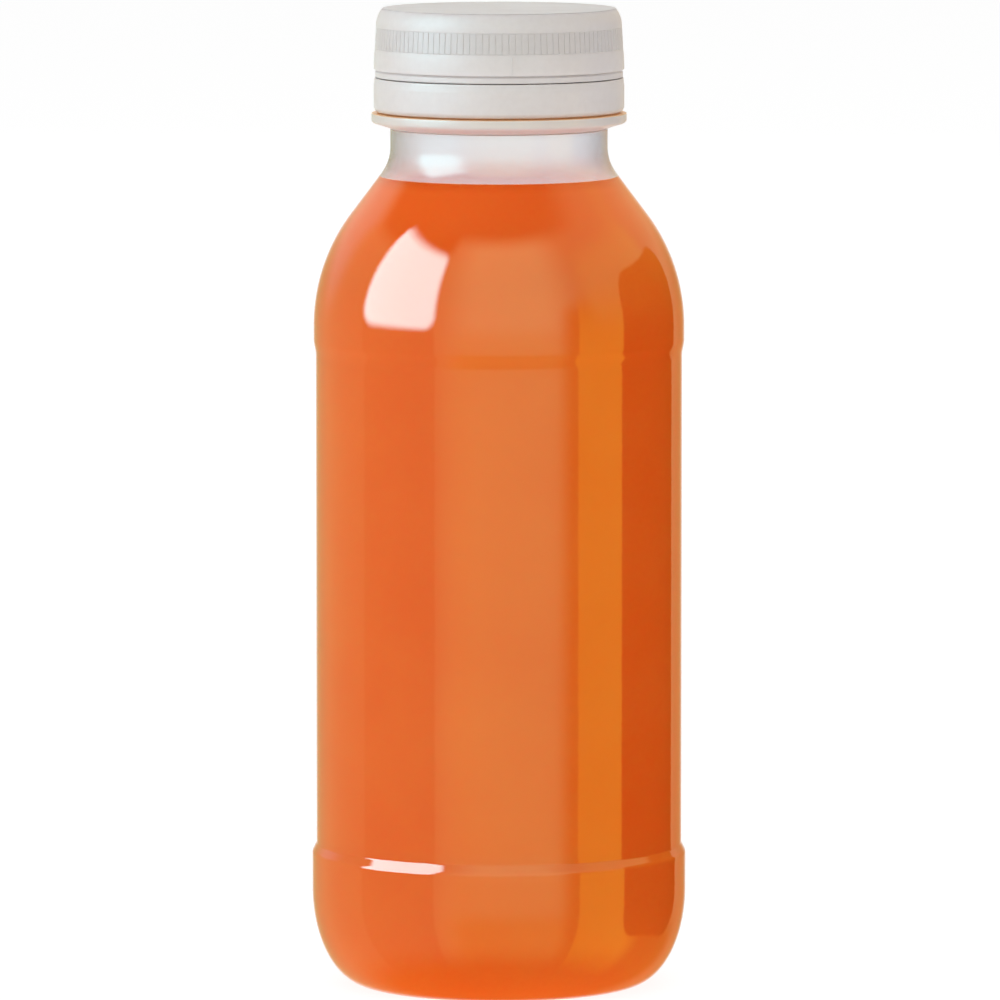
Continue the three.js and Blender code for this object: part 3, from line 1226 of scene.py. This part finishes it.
@dataclass
class ScrewCap:
    """The cap: a turned shell, the ribs of its grip, a mould seam, the tamper band and its bridges.

    The ribs lie in a groove, whose floor slopes up to the side at both ends, over the heights in groove_ends.
    Each row of a rib has a share of the groove's height and of the relief, and each point of its section a
    share of the width and of the relief. The undercut below the skirt has a radius and a height. The crease
    runs round the edge of the top, and crease_lip is how far inside the top's radius the rim above it starts
    and ends. The plug is the ring inside the top that seals the bore: its radii are those of its inner side,
    of its foot and of its root. The flap hooks in under the neck's lock bead: its heights are those of its
    lower edge, upper edge and root. seam_ends are the gaps below and above a seam.
    """

    top: float = 160.85 * MM
    top_radius: float = 19.2 * MM
    top_thickness: float = 1.4 * MM
    inner_radius: float = 19.1 * MM
    rib_bottom: float = 154.1 * MM
    rib_top: float = 158.0 * MM
    rib_low_radius: float = 20.32 * MM
    rib_high_radius: float = 20.12 * MM
    ribs: int = 120
    rib_width: float = 0.925 * MM
    rib_relief: float = 0.13 * MM
    rib_rows: tuple[Point, ...] = (
        (0.0, 0.0), (0.02, 0.7), (0.05, 1.0), (0.5, 1.0), (0.9, 1.0), (0.96, 0.8), (1.0, 0.0),
    )
    rib_section: tuple[Point, ...] = (
        (-0.5, -0.2), (-0.5, 0.88), (-0.47, 0.97), (-0.42, 1.0),
        (0.42, 1.0), (0.47, 0.97), (0.5, 0.88), (0.5, -0.2),
    )
    groove_bottom: float = 154.22 * MM
    groove_top: float = 157.85 * MM
    groove_ends: Point = (0.12 * MM, 0.25 * MM)
    skirt_top_radius: float = 20.44 * MM
    skirt_bottom_radius: float = 20.52 * MM
    ledge: float = 153.95 * MM
    ledge_slope: float = 0.75 * MM
    ledge_width: float = 0.04 * MM
    skirt_bottom: float = 150.85 * MM
    strip_radius: float = 20.27 * MM
    slit: Point = (149.45 * MM, 149.62 * MM)
    undercut: Point = (19.65 * MM, 0.38 * MM)
    crease_depth: float = 0.22 * MM
    crease_gap: float = 0.1 * MM
    crease_lip: Point = (0.1 * MM, 0.15 * MM)
    band_bottom: float = 143.95 * MM
    band_low_radius: float = 20.1 * MM
    band_flare: float = 0.6 * MM
    band_radius: float = 20.5 * MM
    band_shoulder: float = 148.1 * MM
    band_top_radius: float = 20.37 * MM
    plug_radii: tuple[float, float, float] = (14.5 * MM, 15.2 * MM, 15.45 * MM)
    plug_bottom: float = 156.6 * MM
    flap_radius: float = 18.05 * MM
    flap_heights: tuple[float, float, float] = (144.7 * MM, 145.7 * MM, 146.3 * MM)
    bridges: int = 12
    bridge_offset: float = 0.5
    bridge_radii: Point = (19.3 * MM, 19.7 * MM)
    bridge_width: float = 1.1 * MM
    bridge_overlap: float = 0.1 * MM
    seams: int = 2
    seam_angle: float = 6.0
    seam_width: float = 0.16 * MM
    seam_relief: float = 0.15 * MM
    seam_root: float = 0.3 * MM
    seam_ends: Point = (0.1 * MM, 0.05 * MM)
    bar_chamfer: float = 0.25
    sides: int = 240
    longest_row: float = 1.2 * MM
    thread: ThreadForm = ThreadForm(root=19.3 * MM, crest=17.85 * MM, start=150.75 * MM)

    def side_radius(self, height: float) -> float:
        """Radius of the ribbed side at a height."""
        share = (height - self.rib_bottom) / (self.rib_top - self.rib_bottom)
        return self.rib_low_radius + (self.rib_high_radius - self.rib_low_radius) * share

    def shell_outline(self) -> Outline:
        """The cap's half section, with the grip's floor sunk by the ribs' relief.

        Returns:
            A closed outline for turning, from the skirt's foot up the side to the axis, and back inside.
        """
        inside = self.top - self.top_thickness
        rise = self.top - self.rib_top - 1.5 * self.crease_gap
        inset = self.rib_high_radius - self.top_radius
        bend = (rise * rise + inset * inset) / (2 * inset)
        top_angle = math.degrees(math.atan2(rise, bend - inset))
        shoulder = arc((self.rib_high_radius - bend, self.rib_top), (bend, bend), 0, top_angle, steps=12)

        floor_low = self.groove_bottom + self.groove_ends[0]
        floor_high = self.groove_top - self.groove_ends[1]
        side = rounded([
            (self.inner_radius, self.slit[1], 0),
            (self.strip_radius, self.slit[1], 0.08 * MM),
            (self.strip_radius, self.skirt_bottom - self.undercut[1], 0.08 * MM),
            (self.undercut[0], self.skirt_bottom, 0.03 * MM),
            (self.skirt_bottom_radius, self.skirt_bottom, 0.15 * MM),
            (self.skirt_top_radius, self.ledge - self.ledge_slope, 1.0 * MM),
            (self.rib_low_radius + self.ledge_width, self.ledge, 0.05 * MM),
            (self.rib_low_radius, self.rib_bottom, 0.05 * MM),
            (self.side_radius(self.groove_bottom), self.groove_bottom, 0.05 * MM),
            (self.side_radius(floor_low) - self.rib_relief, floor_low, 0.1 * MM),
            (self.side_radius(floor_high) - self.rib_relief, floor_high, 0.2 * MM),
            (self.side_radius(self.groove_top), self.groove_top, 0.1 * MM),
            (*shoulder[0], 0),
        ], steps=4)
        crease_floor = self.top_radius - self.crease_depth
        crease_low = shoulder[-1][1]
        crease_high = crease_low + self.crease_gap
        crease = rounded([
            (*shoulder[-2], 0),
            (*shoulder[-1], 0.03 * MM),
            (crease_floor, crease_low, 0.01 * MM),
            (crease_floor, crease_high, 0.01 * MM),
            (self.top_radius - self.crease_lip[0], crease_high, 0.02 * MM),
            (self.top_radius - self.crease_lip[1], self.top, 0.03 * MM),
            (0.0, self.top, 0),
        ], steps=4)
        under = [
            (0.0, inside),
            (self.plug_radii[0], inside),
            (self.plug_radii[0], self.plug_bottom),
            (self.plug_radii[1], self.plug_bottom),
            (self.plug_radii[2], inside),
            (self.inner_radius, inside),
            (self.inner_radius, self.slit[1]),
        ]
        return [*side, *shoulder[1:-2], *crease, *under]

    def band_outline(self) -> Outline:
        """The tamper band's half section, with the flap that reaches in under the neck's lock bead.

        Returns:
            A closed outline for turning.
        """
        return rounded([
            (self.inner_radius, self.band_bottom, 0),
            (self.band_low_radius, self.band_bottom, 0.25 * MM),
            (self.band_radius, self.band_bottom + self.band_flare, 0.7 * MM),
            (self.skirt_bottom_radius, self.band_shoulder, 1.5 * MM),
            (self.band_top_radius, self.slit[0], 0.1 * MM),
            (self.inner_radius, self.slit[0], 0),
            (self.inner_radius, self.flap_heights[2], 0),
            (self.flap_radius, self.flap_heights[1], 0.1 * MM),
            (self.flap_radius, self.flap_heights[0], 0.1 * MM),
            (self.inner_radius, self.band_bottom, 0),
        ])

    def rib(self) -> Piece:
        """Builds one rib of the grip.

        Returns:
            A pad with rounded sides whose ends sink into the cap.
        """
        span = self.groove_top - self.groove_bottom
        points = []
        for along, lift in self.rib_rows:
            height = self.groove_bottom + span * along
            foot = self.side_radius(height) - self.rib_relief
            for aside, out in self.rib_section:
                radius = foot + self.rib_relief * (out * lift if out > 0 else out)
                points.append((radius, aside * self.rib_width, height))
        faces = tube_faces(len(self.rib_rows), len(self.rib_section))
        return mesh_object("cap_ribs", points, [], faces)

    def bar(self, name: str, radii: Point, heights: Point, width: float, angle: float) -> Piece:
        """Builds an upright bar.

        Args:
            name: Name of the piece.
            radii: Its inner and outer distance from the axis.
            heights: Its lower and upper end.
            width: Its size across.
            angle: Its azimuth in degrees from +X.

        Returns:
            A closed bar with chamfered outer edges.
        """
        turn = math.radians(angle)
        chamfer = width * self.bar_chamfer
        section = (
            (radii[0], -width / 2),
            (radii[1] - chamfer, -width / 2),
            (radii[1], -width / 2 + chamfer),
            (radii[1], width / 2 - chamfer),
            (radii[1] - chamfer, width / 2),
            (radii[0], width / 2),
        )
        points = []
        for height in heights:
            for out, aside in section:
                x = out * math.cos(turn) - aside * math.sin(turn)
                y = out * math.sin(turn) + aside * math.cos(turn)
                points.append((x, y, height))
        return mesh_object(name, points, [], tube_faces(len(heights), len(section)))

    def bridge(self) -> Piece:
        """Builds one bridge, which joins the tamper band to the cap across the slit."""
        heights = (self.slit[0] - self.bridge_overlap, self.slit[1] + self.bridge_overlap)
        return self.bar("band_bridges", self.bridge_radii, heights, self.bridge_width, 0.0)

    def seam(self) -> Piece:
        """Builds one mould seam.

        Returns:
            A thin upright bar that stands a little out of the skirt.
        """
        radii = (self.skirt_top_radius - self.seam_root, self.skirt_top_radius + self.seam_relief)
        heights = (self.skirt_bottom + self.seam_ends[0], self.ledge - self.seam_ends[1])
        return self.bar("cap_seam", radii, heights, self.seam_width, self.seam_angle - 90)

    def build(self, workshop: Workshop, finishes: Finishes) -> None:
        """Makes the cap's pieces.

        Args:
            workshop: The trees that turn and repeat.
            finishes: The object's materials.
        """
        row, sides, finish = self.longest_row, self.sides, finishes.cap
        shell = workshop.turn("cap_shell", self.shell_outline(), row, sides, finish)
        install(shell, Slot.CAP_PLASTIC, Node.CAP)

        fittings = (
            workshop.repeat(self.rib(), self.ribs, 0.0, finish),
            workshop.turn("tamper_band", self.band_outline(), row, sides, finish),
            workshop.repeat(self.bridge(), self.bridges, self.bridge_offset, finish),
            workshop.repeat(self.seam(), self.seams, 0.0, finish),
            workshop.repeat(self.thread.lug("cap_thread"), self.thread.starts, 0.0, finish),
        )
        for piece in fittings:
            install(piece, Slot.CAP_PLASTIC)


# The studio


def line_through(start: float, end: float, values: Sequence[float]) -> Point:
    """The slope and the value at zero of the straight line that has two values at start and end."""
    slope = (values[1] - values[0]) / (end - start)
    return slope, values[0] - slope * start


@dataclass(frozen=True)
class Card:
    """A soft light, a reflector or a dark flag round the bottle, as glossy surfaces mirror it.

    It goes from the start to the end azimuth, in degrees from the camera's side and growing towards +X. Its
    bottom and top are elevations in degrees at both ends, and run straight between them. The rounding of
    its corners, the softness of its edges and the fade below its top are in degrees too.
    """

    start: float
    end: float
    bottom: Point
    top: Point
    light: Colour
    corner: float = 3.0
    softness: float = 1.0
    fade: float = 0.0

    def beyond(self, paint: Paint, value: Socket, middle: object, half: object) -> Socket:
        """How far a value lies beyond the straight part of an edge, squared.

        Args:
            paint: The tree to add to.
            value: The azimuth or the elevation.
            middle: The card's middle in that direction, a socket or a number.
            half: Half of the straight part's length, a socket or a number.

        Returns:
            The socket with the square, which is 0 along the straight part.
        """
        away = paint.maths("ABSOLUTE", paint.maths("SUBTRACT", value, middle))
        past = paint.maths("MAXIMUM", paint.maths("SUBTRACT", away, half), 0.0)
        return paint.maths("MULTIPLY", past, past)

    def mask(self, paint: Paint, azimuth: Socket, elevation: Socket) -> Socket:
        """Where the card is.

        Args:
            paint: The tree to add to.
            azimuth: The azimuth in degrees.
            elevation: The elevation in degrees.

        Returns:
            The socket that is 1 on the card and 0 beside it, with round corners and soft edges.
        """
        width = self.end - self.start
        middles = [(low + high) / 2 for low, high in zip(self.bottom, self.top)]
        halves = [(high - low) / 2 - self.corner for low, high in zip(self.bottom, self.top)]
        level = paint.maths("MULTIPLY_ADD", azimuth, *line_through(self.start, self.end, middles))
        half = paint.maths("MULTIPLY_ADD", azimuth, *line_through(self.start, self.end, halves))
        aside = self.beyond(paint, azimuth, (self.start + self.end) / 2, width / 2 - self.corner)
        above = self.beyond(paint, elevation, level, half)
        distance = paint.maths("SQRT", paint.maths("ADD", aside, above))
        inside = paint.between(distance, self.corner + self.softness, self.corner - self.softness)
        if not self.fade:
            return inside
        edge = paint.maths("MULTIPLY_ADD", azimuth, *line_through(self.start, self.end, self.top))
        below_edge = paint.maths("SUBTRACT", edge, elevation)
        return paint.maths("MULTIPLY", inside, paint.between(below_edge, 0.0, self.fade))


@dataclass(frozen=True)
class Lamp:
    """A large soft lamp that lights matt surfaces and isn't mirrored.

    Its azimuth and elevation are in degrees, as a card's are. Its power grows with the square of its
    distance, so its strength is about what the target gets from it, wherever it stands.
    """

    name: str
    azimuth: float
    elevation: float
    distance: float
    size: float
    strength: float
    tint: Colour = (1.0, 1.0, 1.0)

    def place(self, target: Vector) -> None:
        """Adds the lamp, facing the target.

        Args:
            target: The point that it lights.
        """
        data = bpy.data.lights.new(self.name, "AREA")
        data.shape = "SQUARE"
        data.size = self.size
        data.energy = self.strength * math.pi * self.distance ** 2
        data.color = self.tint
        lamp = bpy.data.objects.new(self.name, data)
        turn = math.radians(self.azimuth)
        lift = math.radians(self.elevation)
        away = Vector((math.sin(turn) * math.cos(lift), -math.cos(turn) * math.cos(lift), math.sin(lift)))
        lamp.location = target + away * self.distance
        lamp.rotation_mode = "QUATERNION"
        lamp.rotation_quaternion = (-away).to_track_quat("-Z", "Y")
        lamp.visible_camera = False
        lamp.visible_glossy = False
        lamp.visible_transmission = False
        bpy.context.scene.collection.objects.link(lamp)


@dataclass(frozen=True)
class Surroundings:
    """What the glossy surfaces mirror and what shows behind the bottle.

    The walls run from near to far over an azimuth, and into the floor and the ceiling over an elevation. The
    cards stand in front of the walls, and a later one in front of an earlier one.
    """

    near_walls: Colour = (0.75, 0.66, 0.31)
    far_walls: Colour = (1.0, 0.97, 0.88)
    far_from: Point = (155.0, 172.0)
    overhead: Colour = (0.12, 0.15, 0.07)
    overhead_from: Point = (49.0, 64.0)
    below: Colour = (0.3, 0.2, 0.04)
    below_from: Point = (-56.0, -27.0)
    cards: tuple[Card, ...] = (
        # Wide pale wall behind the camera, and its warmer foot
        Card(-30, 44, (-88, -88), (70, 70), (1.5, 1.62, 0.74), corner=22.0, softness=18.0),
        Card(-34, 56, (-88, -88), (-6, -6), (1.11, 0.87, 0.21), corner=16.0, softness=14.0),
        # Light on the shoulder's right side, and shade above its left
        Card(58, 125, (0, 0), (42, 38), (1.2, 1.05, 0.36), corner=12.0, softness=8.0),
        Card(-165, -40, (30, 44), (85, 85), (0.15, 0.11, 0.05), corner=6.0, softness=5.0),
        # Walls behind the bottle, to the left and the right
        Card(-174, -126, (4, 4), (80, 80), (0.95, 0.85, 0.65), corner=12.0, softness=9.0),
        Card(126, 174, (4, 4), (80, 80), (0.95, 0.72, 0.35), corner=12.0, softness=9.0),
        # Dim board below the window
        Card(-94, -41, (-80, -80), (3, 3), (0.57, 0.49, 0.24)),
        # Amber edge of the bright strip, and the strip itself
        Card(42, 62, (-88, -88), (14, 14), (0.72, 0.42, 0.06), corner=8.0, softness=7.0),
        Card(51, 112, (-70, -70), (28, 28), (1.45, 1.02, 0.09), fade=34.0),
        # Low walls behind, to the right, the far left and the far right
        Card(98, 168, (-85, -85), (-12, -12), (0.4, 0.25, 0.04), corner=10.0, softness=9.0),
        Card(-168, -142, (-50, -50), (8, 8), (0.58, 0.58, 0.28), corner=10.0, softness=8.0),
        Card(144, 166, (-50, -50), (8, 8), (0.65, 0.42, 0.16), corner=10.0, softness=8.0),
        # Dark flag on the right, with a soft brown upper edge
        Card(84, 139.5, (-24, -19), (25, 19), (0.6, 0.3, 0.03), corner=13.0),
        Card(84, 139.5, (-24, -19), (25, 19), NO_LIGHT, corner=13.0, fade=32.0),
        # Bright window on the left
        Card(-94, -41, (0.5, 0.8), (52, 48), (4.4, 7.65, 7.8), corner=8.0, softness=2.5, fade=8.0),
    )
    seen_through: Colour = (0.88, 0.93, 0.985)
    backdrop: float = 1.0

    def build(self) -> None:
        """Makes the world: plain white for the camera, and the studio's walls for every mirrored ray."""
        world = bpy.data.worlds.new("studio")
        bpy.context.scene.world = world
        world.use_nodes = True
        paint = Paint(world.node_tree)
        way = paint.node("ShaderNodeTexCoord").outputs["Generated"]
        axes = paint.node("ShaderNodeSeparateXYZ", {0: way}).outputs
        to_camera = paint.maths("MULTIPLY", axes["Y"], -1.0)
        azimuth = paint.maths("DEGREES", paint.maths("ARCTAN2", axes["X"], to_camera))
        elevation = paint.maths("DEGREES", paint.maths("ARCSINE", axes["Z"]))

        far = paint.between(paint.maths("ABSOLUTE", azimuth), *self.far_from)
        mirrored = paint.mix(far, opaque(self.near_walls), opaque(self.far_walls))
        for card in self.cards:
            mirrored = paint.mix(card.mask(paint, azimuth, elevation), mirrored, opaque(card.light))
        low = paint.between(elevation, *self.below_from)
        mirrored = paint.mix(low, opaque(self.below), mirrored)
        high = paint.between(elevation, *self.overhead_from)
        mirrored = paint.mix(high, mirrored, opaque(self.overhead))

        path = paint.node("ShaderNodeLightPath").outputs
        mirrored = paint.mix(path["Is Transmission Ray"], mirrored, opaque(self.seen_through))
        shown = paint.mix(path["Is Camera Ray"], mirrored, opaque((self.backdrop,) * 3))
        light = paint.node("ShaderNodeBackground", {"Color": shown, "Strength": 1.0})
        paint.node("ShaderNodeOutputWorld", {"Surface": light.outputs[0]})
        world.cycles_visibility.diffuse = False
        world.cycles.sampling_method = "NONE"


@dataclass
class Studio:
    """The floor, the lamps and the walls round the bottle."""

    floor_radius: float = 9.0
    floor_sides: int = 96
    target: Vector = field(default_factory=lambda: Vector((0.0, 0.0, 0.09)))
    surroundings: Surroundings = field(default_factory=Surroundings)
    lamps: tuple[Lamp, ...] = (
        Lamp("sky", 0.0, 89.0, distance=5.0, size=9.0, strength=2.35),
        Lamp("key_left", -75.0, 22.0, distance=1.4, size=1.3, strength=0.95, tint=(0.98, 1.0, 1.03)),
        Lamp("front", -5.0, 55.0, distance=2.0, size=1.5, strength=0.7, tint=(1.0, 0.95, 0.92)),
        Lamp("right_fill", 95.0, 25.0, distance=1.6, size=1.2, strength=0.4, tint=(1.0, 0.9, 0.82)),
        Lamp("back", 178.0, 30.0, distance=1.8, size=1.4, strength=0.5),
    )

    def build(self) -> None:
        """Makes the floor, the lamps and the world."""
        points = []
        for i in range(self.floor_sides):
            turn = math.tau * i / self.floor_sides
            points.append((self.floor_radius * math.cos(turn), self.floor_radius * math.sin(turn), 0.0))
        floor = mesh_object("floor", points, [], [tuple(range(self.floor_sides))])
        floor.data.materials.append(PaleFloor().material())
        floor.visible_glossy = False
        floor.visible_transmission = False
        for lamp in self.lamps:
            lamp.place(self.target)
        self.surroundings.build()
        bpy.context.scene.view_settings.view_transform = "Standard"
        log.info("studio: %d lamps", len(self.lamps))


@dataclass(frozen=True)
class Viewpoint:
    """The photograph's view: a long lens a little above the cap, looking slightly down."""

    distance: float = 1.693
    height: float = 0.2533
    look_down: float = 5.847
    lens: float = 372.8
    sensor: float = 36.0
    shift: float = 0.001
    clip: Point = (0.05, 50.0)

    def build(self) -> None:
        """Makes the camera and gives it to the scene."""
        data = bpy.data.cameras.new("camera")
        data.lens = self.lens
        data.sensor_width = self.sensor
        data.shift_x = self.shift
        data.clip_start, data.clip_end = self.clip
        camera = bpy.data.objects.new("camera", data)
        camera.location = (0.0, -self.distance, self.height)
        camera.rotation_euler = (math.radians(90 - self.look_down), 0.0, 0.0)
        bpy.context.scene.collection.objects.link(camera)
        bpy.context.scene.camera = camera


def main() -> None:
    """Builds the bottle, its studio and its camera."""
    logging.basicConfig(level=logging.INFO, format="%(name)s: %(message)s")
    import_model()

    form = BodyForm()
    workshop = Workshop()
    finishes = Finishes()
    BottleShell(form).build(workshop, finishes)
    JuiceFill(form).build(workshop, finishes)
    ScrewCap().build(workshop, finishes)
    Studio().build()
    Viewpoint().build()


if __name__ == "__main__":
    main()
